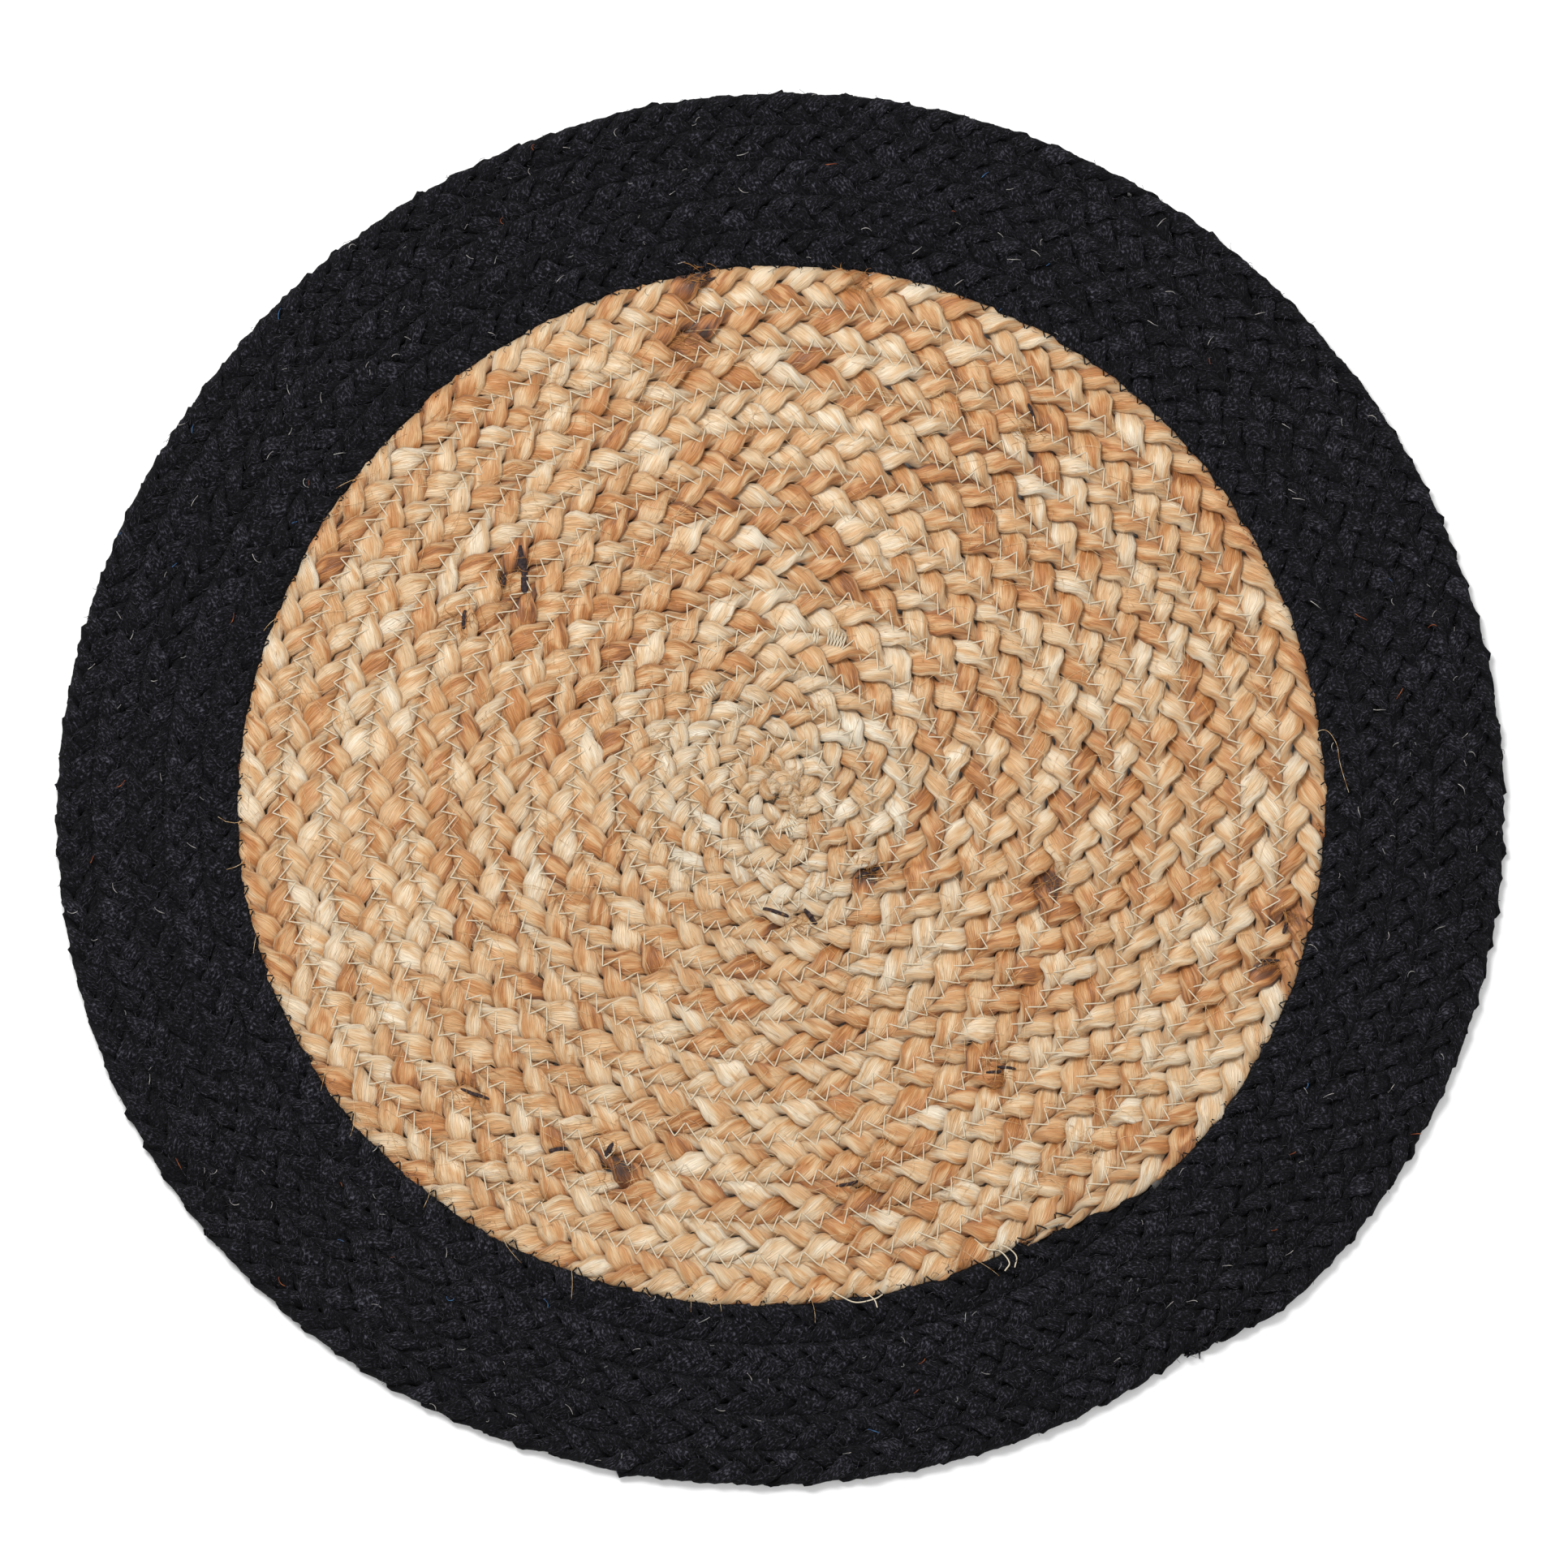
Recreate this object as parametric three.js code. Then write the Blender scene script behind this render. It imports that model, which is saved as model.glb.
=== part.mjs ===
// Round braided table mat, in millimetres, +Z up, lying on z = 0 with the origin at the middle of its
// underside.
//
// One flat spiral carries two three-strand braids, jute from the middle out and then cotton as the
// border. Zigzag seams bind each turn to the next, and each seam run has a needle thread in the groove
// on top and a bobbin thread in the groove underneath. A braid's strands cross every centimetre over
// several metres, so each braid is one closed band with sloping sides here.
import * as THREE from 'three';

// Braids
const JUTE_THICKNESS = 5.5;
const COTTON_THICKNESS = 5.0;
const CORE_BRAID_WIDTH = 9.6;
const JUTE_BRAID_WIDTH = 11.0;
const COTTON_BRAID_WIDTH = 9.5;
const SLOPED_SHARE = 0.32;

// Coil: the turns are counted from the middle, and the coil winds clockwise on its way out
const CORE_TURNS = 3.5;
const JUTE_TURNS = 13.4;
const COTTON_TURNS = 5;
const START_RADIUS = 5.3;
const CENTRE_OPENING = 0.8;
const LAY_GAP = 0.3;
const END_ANGLE = THREE.MathUtils.degToRad(-55);

// Where a braid ends, every turn inside it steps down a little over a short way
const STEP_SHARE = 0.3;
const STEP_HALF_TURNS = 0.03;

// The last braid is drawn in before it stops
const END_TAPER_TURNS = 0.03;
const END_WIDTH_SHARE = 0.6;

// Hand coiling leaves the mat a little out of round
const OUT_OF_ROUND = [
  { lobes: 2, share: 0.0084, peak: THREE.MathUtils.degToRad(69) },
  { lobes: 3, share: 0.0067, peak: THREE.MathUtils.degToRad(89) },
];

// Seams
const THREAD_SINK = 0.3;
const THREAD_DEPTH = 0.9;
const THREAD_CLEARANCE = 0.36;
const RUN_BREAK = 2.0;
const CENTRE_SEAM_START = 0.35;
const CENTRE_SEAM_END = 2.92;
const INNER_SEAM_END = 4.04;
const JUTE_SEAM_END = JUTE_TURNS - 1;
const COTTON_SEAM_END = JUTE_TURNS + COTTON_TURNS - 1;

const CORNERS_PER_TURN = 36;
const SHORTEST_SIDE_SHARE = 0.01;

const COIL_TURNS = JUTE_TURNS + COTTON_TURNS;

const JUTE = new THREE.MeshStandardMaterial({ color: 0xc6a07b, roughness: 0.75, metalness: 0 });
const COTTON = new THREE.MeshStandardMaterial({ color: 0x201f23, roughness: 0.95, metalness: 0 });
const CREAM_THREAD = new THREE.MeshStandardMaterial({ color: 0xdccbb0, roughness: 0.6, metalness: 0 });
const BLACK_THREAD = new THREE.MeshStandardMaterial({ color: 0x1b1a1c, roughness: 0.6, metalness: 0 });

function angleAt(turn) {
  return END_ANGLE + 2 * Math.PI * (JUTE_TURNS - turn);
}

// Moves some of each turn's growth into the short way where the braids end.
function turnWithStep(turn) {
  const pastEnd = turn - JUTE_TURNS;
  const nearest = Math.round(pastEnd);
  const ramp = THREE.MathUtils.clamp((pastEnd - nearest) / (2 * STEP_HALF_TURNS), -0.5, 0.5);
  return turn + STEP_SHARE * (nearest + ramp - pastEnd);
}

function roundRadius(turn) {
  const coreTurns = Math.min(turn, CORE_TURNS);
  const juteTurns = THREE.MathUtils.clamp(turn - CORE_TURNS, 0, JUTE_TURNS - CORE_TURNS);
  const cottonTurns = Math.max(turn - JUTE_TURNS, 0);
  return (
    START_RADIUS +
    coreTurns * CORE_BRAID_WIDTH +
    juteTurns * JUTE_BRAID_WIDTH +
    cottonTurns * COTTON_BRAID_WIDTH
  );
}

function cornerRadius(turn) {
  const angle = angleAt(turn);
  const roundness = OUT_OF_ROUND.reduce(
    (factor, { lobes, share, peak }) => factor + share * Math.cos(lobes * (angle - peak)),
    1
  );
  return roundRadius(turnWithStep(turn)) * roundness;
}

// Radius of the outer edge of the coil after so many turns, which is also where the seam lies. The
// edge runs straight between corners that stand on the same rays in every turn, so the turns nest
// wherever a braid or a thread stops.
function coilRadius(turn) {
  const corner = Math.floor(turn * CORNERS_PER_TURN) / CORNERS_PER_TURN;
  const nextCorner = corner + 1 / CORNERS_PER_TURN;
  const before = cornerRadius(corner);
  const after = cornerRadius(nextCorner);
  const past = 2 * Math.PI * (turn - corner);
  const left = 2 * Math.PI * (nextCorner - turn);
  return before * after * Math.sin(past + left) / (before * Math.sin(past) + after * Math.sin(left));
}

// Turns that a short length takes up where the coil's outer edge is at that turn.
function turnsAlong(length, turn) {
  return length / (2 * Math.PI * coilRadius(turn));
}

function innerEdge(turn) {
  if (turn < 1) {
    return THREE.MathUtils.lerp(CENTRE_OPENING, coilRadius(0), turn);
  }
  return coilRadius(turn - 1);
}

function outerEdge(turn) {
  const taper = THREE.MathUtils.clamp(1 - (COIL_TURNS - turn) / END_TAPER_TURNS, 0, 1);
  const widthShare = THREE.MathUtils.lerp(1, END_WIDTH_SHARE, taper);
  return THREE.MathUtils.lerp(innerEdge(turn), coilRadius(turn), widthShare);
}

function bandHalfWidth(turn) {
  return (outerEdge(turn) - innerEdge(turn) - LAY_GAP) / 2;
}

// The two ends and every corner well between them.
function stationsBetween(start, end) {
  const stations = [start];
  const first = Math.floor(start * CORNERS_PER_TURN) + 1;
  for (let corner = first; corner < end * CORNERS_PER_TURN - SHORTEST_SIDE_SHARE; corner++) {
    stations.push(corner / CORNERS_PER_TURN);
  }
  stations.push(end);
  return stations;
}

// A path along the coil that carries a section whose width and height follow the place on the coil.
// place(turn) gives the section's middle radius, half width, middle height and half height.
class CoilPath extends THREE.Curve {
  constructor(stations, place) {
    super();
    this.stations = stations.map((turn) => ({ angle: angleAt(turn), ...place(turn) }));
  }

  getSpacedPoints() {
    return this.stations.map(({ angle, radius, height }) =>
      new THREE.Vector3(radius * Math.cos(angle), radius * Math.sin(angle), height)
    );
  }

  computeFrenetFrames() {
    return {
      normals: this.stations.map(({ angle, halfWidth }) =>
        new THREE.Vector3(Math.cos(angle), Math.sin(angle), 0).multiplyScalar(halfWidth)
      ),
      binormals: this.stations.map(({ halfHeight }) => new THREE.Vector3(0, 0, halfHeight)),
    };
  }
}

function sweepAlongCoil(name, material, sectionPoints, start, end, place) {
  const section = new THREE.Shape(sectionPoints.map(([x, y]) => new THREE.Vector2(x, y)));
  const stations = stationsBetween(start, end);
  const geometry = new THREE.ExtrudeGeometry(section, {
    steps: stations.length - 1,
    extrudePath: new CoilPath(stations, place),
  });
  const mesh = new THREE.Mesh(geometry, material);
  mesh.name = name;
  return mesh;
}

function makeBraid(name, material, start, end, thickness) {
  const flat = 1 - SLOPED_SHARE;
  const section = [[-flat, -1], [flat, -1], [1, 0], [flat, 1], [-flat, 1], [-1, 0]];
  return sweepAlongCoil(name, material, section, start, end, (turn) => ({
    radius: (outerEdge(turn) + innerEdge(turn)) / 2,
    halfWidth: bandHalfWidth(turn),
    height: thickness / 2,
    halfHeight: thickness / 2,
  }));
}

// Half the width of the groove between two turns, at a depth below the thinner braid's surface.
function grooveHalfWidth(turn, depth, thicknesses) {
  const surface = Math.min(...thicknesses);
  const openShare = Math.min(...thicknesses.map((thickness) => (surface - depth) * 2 / thickness - 1));
  const slope = SLOPED_SHARE * Math.min(bandHalfWidth(turn), bandHalfWidth(turn + 1));
  return LAY_GAP / 2 + slope * openShare;
}

function makeSeamThread(name, material, start, end, thicknesses, onTop) {
  const section = onTop ? [[0, -1], [1, 1], [-1, 1]] : [[-1, -1], [1, -1], [0, 1]];
  const middleDepth = THREAD_SINK + THREAD_DEPTH / 2;
  return sweepAlongCoil(name, material, section, start, end, (turn) => ({
    radius: coilRadius(turn),
    halfWidth: grooveHalfWidth(turn, THREAD_SINK, thicknesses) - THREAD_CLEARANCE,
    height: onTop ? Math.min(...thicknesses) - middleDepth : middleDepth,
    halfHeight: THREAD_DEPTH / 2,
  }));
}

function makeSeam(name, material, start, end, thicknesses) {
  const runStart = start + turnsAlong(RUN_BREAK, start);
  return [
    makeSeamThread(`${name}_needle_thread`, material, runStart, end, thicknesses, true),
    makeSeamThread(`${name}_bobbin_thread`, material, runStart, end, thicknesses, false),
  ];
}

const mat = new THREE.Group();
const cottonStart = JUTE_TURNS + turnsAlong(LAY_GAP, JUTE_TURNS - 1);
const cottonBraid = makeBraid('cotton_braid', COTTON, cottonStart, COIL_TURNS, COTTON_THICKNESS);
mat.add(
  makeBraid('jute_braid', JUTE, 0, JUTE_TURNS, JUTE_THICKNESS),
  cottonBraid,
  ...makeSeam('centre_seam', CREAM_THREAD, CENTRE_SEAM_START, CENTRE_SEAM_END, [JUTE_THICKNESS]),
  ...makeSeam('inner_seam', CREAM_THREAD, CENTRE_SEAM_END, INNER_SEAM_END, [JUTE_THICKNESS]),
  ...makeSeam('jute_seam', CREAM_THREAD, INNER_SEAM_END, JUTE_SEAM_END, [JUTE_THICKNESS]),
  ...makeSeam(
    'cotton_seam', BLACK_THREAD, JUTE_SEAM_END, COTTON_SEAM_END, [JUTE_THICKNESS, COTTON_THICKNESS]
  )
);

// The border's outline sets the middle of the mat.
cottonBraid.geometry.computeBoundingBox();
const middle = cottonBraid.geometry.boundingBox.getCenter(new THREE.Vector3());
mat.position.set(-middle.x, -middle.y, 0);

export default mat;
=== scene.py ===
# A round mat coiled from two three-strand plaits, golden jute inside and black cotton outside, sewn turn
# to turn with zigzag seams. The strands, stitches and loose fibres here stand for the frame's plain bands.
import math
from collections import namedtuple

import bpy
import numpy as np
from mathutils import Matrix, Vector


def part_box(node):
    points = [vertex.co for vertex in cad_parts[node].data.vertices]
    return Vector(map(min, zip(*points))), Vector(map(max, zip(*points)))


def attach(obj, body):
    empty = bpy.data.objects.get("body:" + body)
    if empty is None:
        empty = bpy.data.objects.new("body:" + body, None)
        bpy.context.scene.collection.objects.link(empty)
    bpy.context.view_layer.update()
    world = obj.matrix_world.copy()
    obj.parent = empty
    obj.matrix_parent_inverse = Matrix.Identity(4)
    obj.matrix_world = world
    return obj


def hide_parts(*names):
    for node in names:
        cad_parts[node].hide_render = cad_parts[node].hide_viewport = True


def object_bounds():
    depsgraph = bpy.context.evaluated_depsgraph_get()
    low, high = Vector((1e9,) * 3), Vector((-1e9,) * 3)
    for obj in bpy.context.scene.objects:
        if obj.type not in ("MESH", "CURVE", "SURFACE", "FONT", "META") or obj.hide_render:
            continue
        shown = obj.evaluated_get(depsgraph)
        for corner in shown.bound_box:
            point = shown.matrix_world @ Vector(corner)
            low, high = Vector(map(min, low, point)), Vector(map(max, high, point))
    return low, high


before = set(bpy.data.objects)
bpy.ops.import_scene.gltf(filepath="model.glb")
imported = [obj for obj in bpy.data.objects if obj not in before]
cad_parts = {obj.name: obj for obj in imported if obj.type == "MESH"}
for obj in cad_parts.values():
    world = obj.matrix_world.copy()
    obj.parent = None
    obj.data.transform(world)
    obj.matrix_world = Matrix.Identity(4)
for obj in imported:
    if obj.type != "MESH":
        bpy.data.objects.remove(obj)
cad_low, cad_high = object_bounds()

MM = 0.001
TAU = 2 * math.pi

# ---------------------------------------------------------------- the coil, as the frame lays it
CORE_BRAID_WIDTH = 9.6 * MM
JUTE_BRAID_WIDTH = 11.0 * MM
COTTON_BRAID_WIDTH = 9.5 * MM
CORE_TURNS = 3.5
JUTE_TURNS = 13.4
COTTON_TURNS = 5
COIL_TURNS = JUTE_TURNS + COTTON_TURNS
START_RADIUS = 5.3 * MM
CENTRE_OPENING = 0.8 * MM
END_ANGLE = math.radians(-55)
STEP_SHARE = 0.3
STEP_HALF_TURNS = 0.03
END_TAPER_TURNS = 0.03
END_WIDTH_SHARE = 0.2
RIM_INSET = 0.9 * MM
OUT_OF_ROUND = (
    (2, 0.0084, math.radians(69)),
    (3, 0.0067, math.radians(89)),
)

# The jute narrows to its end, and the cotton starts beside it as a wedge
JUTE_END = JUTE_TURNS + 0.02
JOIN_TURNS = 0.055
JOIN_WIDTH_SHARE = 0.2

# The first strands are tucked in towards the middle
TUCKED_START_TURNS = 0.55
SMALLEST_START_ROOM = 0.75

JUTE_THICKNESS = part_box("jute_braid")[1][2]
COTTON_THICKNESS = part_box("cotton_braid")[1][2]


def smoothstep(share):
    share = np.clip(share, 0.0, 1.0)
    return share * share * (3 - 2 * share)


def mix(low, high, share):
    return low + (high - low) * share


def angle_at(turn):
    return END_ANGLE + TAU * (JUTE_TURNS - turn)


def coil_radius(turn):
    """Outer edge of the coil after so many turns, where the seam to the next turn lies."""
    past_end = turn - JUTE_TURNS
    nearest = np.round(past_end)
    ramp = np.clip((past_end - nearest) / (2 * STEP_HALF_TURNS), -0.5, 0.5)
    turn_with_step = turn + STEP_SHARE * (nearest + ramp - past_end)
    radius = (
        START_RADIUS
        + np.minimum(turn_with_step, CORE_TURNS) * CORE_BRAID_WIDTH
        + np.clip(turn_with_step - CORE_TURNS, 0, JUTE_TURNS - CORE_TURNS) * JUTE_BRAID_WIDTH
        + np.maximum(turn_with_step - JUTE_TURNS, 0) * COTTON_BRAID_WIDTH
    )
    for lobes, share, peak in OUT_OF_ROUND:
        radius = radius * (1 + share * np.cos(lobes * (angle_at(turn) - peak)))
    return radius


def track_inner(turn):
    start = mix(CENTRE_OPENING, coil_radius(np.zeros_like(turn)), turn)
    return np.where(turn < 1, start, coil_radius(turn - 1))


def jute_edges(turn):
    inner = track_inner(turn)
    drawn_in = smoothstep((turn - JUTE_END + JOIN_TURNS) / JOIN_TURNS)
    outer = mix(inner, coil_radius(turn), mix(1.0, JOIN_WIDTH_SHARE, drawn_in))
    return inner, outer


def cotton_edges(turn):
    inner = np.where(turn < JUTE_END, jute_edges(turn)[1], track_inner(turn))
    rim_inset = RIM_INSET * smoothstep((turn - COIL_TURNS + 1) / END_TAPER_TURNS)
    drawn_in = smoothstep(1 - (COIL_TURNS - turn) / END_TAPER_TURNS)
    outer = mix(inner, coil_radius(turn) - rim_inset, mix(1.0, END_WIDTH_SHARE, drawn_in))
    return inner, outer


def coil_middle():
    """The coil's start, placed so that the coil's outline fills the frame's box."""
    turns = np.linspace(COIL_TURNS - 1, COIL_TURNS, 720)
    radius = cotton_edges(turns)[1]
    x = radius * np.cos(angle_at(turns))
    y = radius * np.sin(angle_at(turns))
    low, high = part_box("cotton_braid")
    return (
        (low[0] + high[0]) / 2 - (x.min() + x.max()) / 2,
        (low[1] + high[1]) / 2 - (y.min() + y.max()) / 2,
    )


MIDDLE_X, MIDDLE_Y = coil_middle()


def on_coil(turn, radius, height):
    """Points from their turn, radius and height, as rows of x, y and z."""
    angle = angle_at(turn)
    return np.stack(
        [
            MIDDLE_X + radius * np.cos(angle),
            MIDDLE_Y + radius * np.sin(angle),
            np.broadcast_to(height, np.shape(angle)),
        ],
        axis=-1,
    )


# ---------------------------------------------------------------- helpers for shapes
def wander(rng, places, spacing):
    """A seeded smooth curve between -1 and 1, with one random knot every spacing along the places."""
    steps = (places - places.min()) / spacing
    knots = rng.uniform(-1, 1, int(steps.max()) + 3)
    before = np.floor(steps).astype(int)
    share = smoothstep(steps - before)
    return mix(knots[before], knots[before + 1], share)


def unit(vectors):
    return vectors / np.maximum(np.linalg.norm(vectors, axis=-1, keepdims=True), 1e-12)


def lengths_along(points):
    steps = np.linalg.norm(np.diff(points, axis=0), axis=1)
    return np.concatenate([[0.0], np.cumsum(steps)])


def mesh_object(name, vertices, quads, lids, quad_uvs, tones=None):
    """A smooth mesh object from arrays: quads with a UV per corner, then lids, and a tone per point."""
    mesh = bpy.data.meshes.new(name)
    mesh.from_pydata(vertices.tolist(), [], quads + lids)
    mesh.polygons.foreach_set("use_smooth", np.ones(len(mesh.polygons), dtype=bool))
    uvs = np.zeros(2 * len(mesh.loops), dtype=np.float32)
    uvs[:len(quad_uvs)] = quad_uvs
    layer = mesh.uv_layers.new(name="along_fibre")
    layer.data.foreach_set("uv", uvs)
    if tones is not None:
        attribute = mesh.attributes.new("tone", "FLOAT", "POINT")
        attribute.data.foreach_set("value", np.asarray(tones, dtype=np.float32))
    mesh.update()
    obj = bpy.data.objects.new(name, mesh)
    bpy.context.scene.collection.objects.link(obj)
    return obj


def ring_faces(rings, sides, first=0):
    """Quads between rings of points, and a lid on each end."""
    ring = np.arange(rings - 1)[:, None] * sides + first
    side = np.arange(sides)[None, :]
    after = (side + 1) % sides
    quads = np.stack([ring + side, ring + after, ring + sides + after, ring + sides + side], axis=-1)
    lid_start = list(range(first + sides - 1, first - 1, -1))
    last = first + (rings - 1) * sides
    lid_end = list(range(last, last + sides))
    return quads.reshape(-1, 4).tolist(), [lid_start, lid_end]


def ring_uvs(lengths, sides, perimeter):
    """UVs in metres for the quads of ring_faces: across the fibres in u and along them in v."""
    rows = len(lengths) - 1
    left = np.broadcast_to(np.arange(sides)[None, :] / sides * perimeter, (rows, sides))
    right = left + perimeter / sides
    low = np.broadcast_to(lengths[:-1, None], (rows, sides))
    high = np.broadcast_to(lengths[1:, None], (rows, sides))
    return np.stack([left, low, right, low, right, high, left, high], axis=-1).ravel()


def side_axes(points):
    """The level and upright axes square to a path, at each of its points."""
    forward = unit(np.gradient(points, axis=0))
    across = unit(np.cross(np.broadcast_to([0.0, 0.0, 1.0], forward.shape), forward))
    return across, np.cross(forward, across)


# ---------------------------------------------------------------- plaited strands
Plait = namedtuple(
    "Plait",
    "seed edges start end width thickness period steps sides lean arch_share "
    "half_width under_half_width waist_half_width edge_half_width half_depth edge_half_depth "
    "yarns yarn_depth rib_knots rib_depth rib_length twist_length nap lobe_tone crest_tone",
)

JUTE = Plait(
    seed=11,
    edges=jute_edges,
    start=-TUCKED_START_TURNS,
    end=JUTE_END,
    width=JUTE_BRAID_WIDTH,
    thickness=JUTE_THICKNESS,
    period=33 * MM,
    steps=23,
    sides=20,
    lean=0.38 * MM,
    arch_share=1.0,
    half_width=3.75 * MM,
    under_half_width=4.4 * MM,
    waist_half_width=2.5 * MM,
    edge_half_width=2.2 * MM,
    half_depth=1.2 * MM,
    edge_half_depth=2.0 * MM,
    yarns=0,
    yarn_depth=0.0,
    rib_knots=10,
    rib_depth=0.17,
    rib_length=11 * MM,
    twist_length=160 * MM,
    nap=0.02,
    lobe_tone=0.7,
    crest_tone=0.25,
)
COTTON = Plait(
    seed=23,
    edges=cotton_edges,
    start=JUTE_END - 0.75 * JOIN_TURNS,
    end=COIL_TURNS,
    width=COTTON_BRAID_WIDTH,
    thickness=COTTON_THICKNESS,
    period=26 * MM,
    steps=23,
    sides=18,
    lean=0.2 * MM,
    arch_share=1.1,
    half_width=3.15 * MM,
    under_half_width=3.9 * MM,
    waist_half_width=2.45 * MM,
    edge_half_width=1.9 * MM,
    half_depth=1.3 * MM,
    edge_half_depth=1.65 * MM,
    yarns=6,
    yarn_depth=0.06,
    rib_knots=8,
    rib_depth=0.38,
    rib_length=1.8 * MM,
    twist_length=38 * MM,
    nap=0.2,
    lobe_tone=0.12,
    crest_tone=1.0,
)

STRANDS_PER_PLAIT = 3
SEEDS_PER_PLAIT = 10
FINE_STEPS_PER_TURN = 360

# Each end of a strand narrows to a share of its size as it is tucked away
END_TUCK_LENGTH = 7 * MM
END_SIZE_SHARE = 0.4

# The plait is shorter and narrower in the tight turns at the middle
TIGHT_TURNS = 4.5
TIGHTEST_PERIOD_SHARE = 0.6
TIGHTEST_WIDTH_SHARE = 0.86

# Hand plaiting is uneven: how much the period changes, and over what length
UNEVEN_PULLS = ((0.1, 70 * MM), (0.08, 19 * MM))

# How much the lobes differ in height, roll in radians, and fullness, and how much each is stained
LOBE_HEIGHTS = (0.72, 1.1)
LOBE_ROLL = 0.22
LOBE_FULLNESS = (0.84, 1.18)
LOBE_STAINS = (-0.35, 1.4)
LOBE_CHANGE_SHARE = 0.28

# How sharply a strand turns upright at the braid's edge, and how long its crown and edge are
ROLL_POWER = 0.75
EDGE_POWER = 6
CROWN_POWER = 1.1

# How far the middle of a strand stays inside the braid's edge, as a share of its half depth there
EDGE_GAP_SHARE = 0.76

# A strand squeezed into a narrow place gets thinner, and a fuller lobe gets flatter
NARROWEST_DEPTH_SHARE = 0.45
FLATTENED_SHARE = 0.4

# The skin's ribs are lower across the strand, and calmer where it turns round the braid's edge
RIB_SHARE_ACROSS = 0.5
EDGE_CALM = 0.65

# The way round a strand, for each millimetre of its half width and half depth together
PERIMETER_PER_AXES = 2.5

# Tones: a slow drift along the strand and paler turns in the middle. Painted light and shade: raised
# ribs and the crests at the top and bottom are painted paler, grooves and the deep sides between lobes darker
DRIFT_TONE = 0.15
DRIFT_LENGTH = 260 * MM
RIB_PAINTED_SHADING = 0.35
PAINTED_CREST_LEVEL = 0.8
CORE_PALENESS = 0.26

# Where the jute is stained brown by bark: distance from the middle, angle, reach and strength
BARK_STAINS = (
    (89, 141, 9, 0.8),
    (94, 152, 6, 0.6),
    (117, 226, 9, 0.8),
    (114, 247, 9, 0.9),
    (111, 280, 9, 0.9),
    (39, 273, 6, 1.0),
    (33, 313, 6, 1.1),
    (97, 305, 7, 0.8),
    (116, 55, 7, 0.8),
    (77, 338, 8, 0.8),
    (138, 344, 7, 1.0),
    (139, 98, 7, 0.9),
    (124, 101, 8, 0.8),
    (139, 81, 7, 0.8),
    (137, 338, 6, 1.1),
)


def plait_phase(plait):
    """Turns along the plait and how far the plaiting has gone at each, in radians."""
    turns = np.linspace(plait.start, plait.end, int((plait.end - plait.start) * FINE_STEPS_PER_TURN))
    inner, outer = plait.edges(turns)
    lengths = lengths_along(on_coil(turns, (inner + outer) / 2, 0.0))
    rng = np.random.default_rng(plait.seed)
    slack = 1
    for share, spacing in UNEVEN_PULLS:
        slack = slack + share * wander(rng, lengths, spacing)
    tight = mix(TIGHTEST_PERIOD_SHARE, 1.0, smoothstep(turns / TIGHT_TURNS))
    steps = np.diff(lengths) * TAU / (plait.period * tight * slack)[1:]
    return turns, np.concatenate([[0.0], np.cumsum(steps)])


def lobe_values(rng, phase, low, high):
    """One random value for each lobe of the strand, changing where it dips under the others."""
    lobes_passed = (phase + TAU / 8) / math.pi
    knots = rng.uniform(low, high, int(lobes_passed.max()) + 3)
    before = np.floor(lobes_passed).astype(int)
    share = smoothstep((lobes_passed - before - (1 - LOBE_CHANGE_SHARE)) / LOBE_CHANGE_SHARE)
    return mix(knots[before], knots[before + 1], share)


def yarn_ribs(rng, plait, lengths):
    """How far the skin stands out or in, for each ring and side, as the yarns wind round the strand."""
    steps = lengths / plait.rib_length
    knots = rng.uniform(-1, 1, (int(steps.max()) + 3, plait.rib_knots))
    before = np.floor(steps).astype(int)
    along = mix(knots[before], knots[before + 1], smoothstep(steps - before)[:, None])
    wound = np.arange(plait.sides)[None, :] / plait.sides + lengths[:, None] / plait.twist_length
    at = wound * plait.rib_knots
    left = np.floor(at).astype(int)
    row = np.arange(len(lengths))[:, None]
    ribs = mix(
        along[row, left % plait.rib_knots],
        along[row, (left + 1) % plait.rib_knots],
        smoothstep(at - left),
    )
    nap = rng.uniform(-plait.nap, plait.nap, ribs.shape)
    return plait.rib_depth * ribs + plait.yarn_depth * np.cos(TAU * plait.yarns * wound) + nap


def bark_stain(points):
    """How brown the jute is at each point."""
    brown = np.zeros(len(points))
    for distance, angle, reach, strength in BARK_STAINS:
        x = distance * MM * math.cos(math.radians(angle))
        y = distance * MM * math.sin(math.radians(angle))
        away = np.hypot(points[:, 0] - x, points[:, 1] - y) / (reach * MM)
        brown = np.maximum(brown, strength * np.exp(-away ** 2))
    return brown


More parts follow.
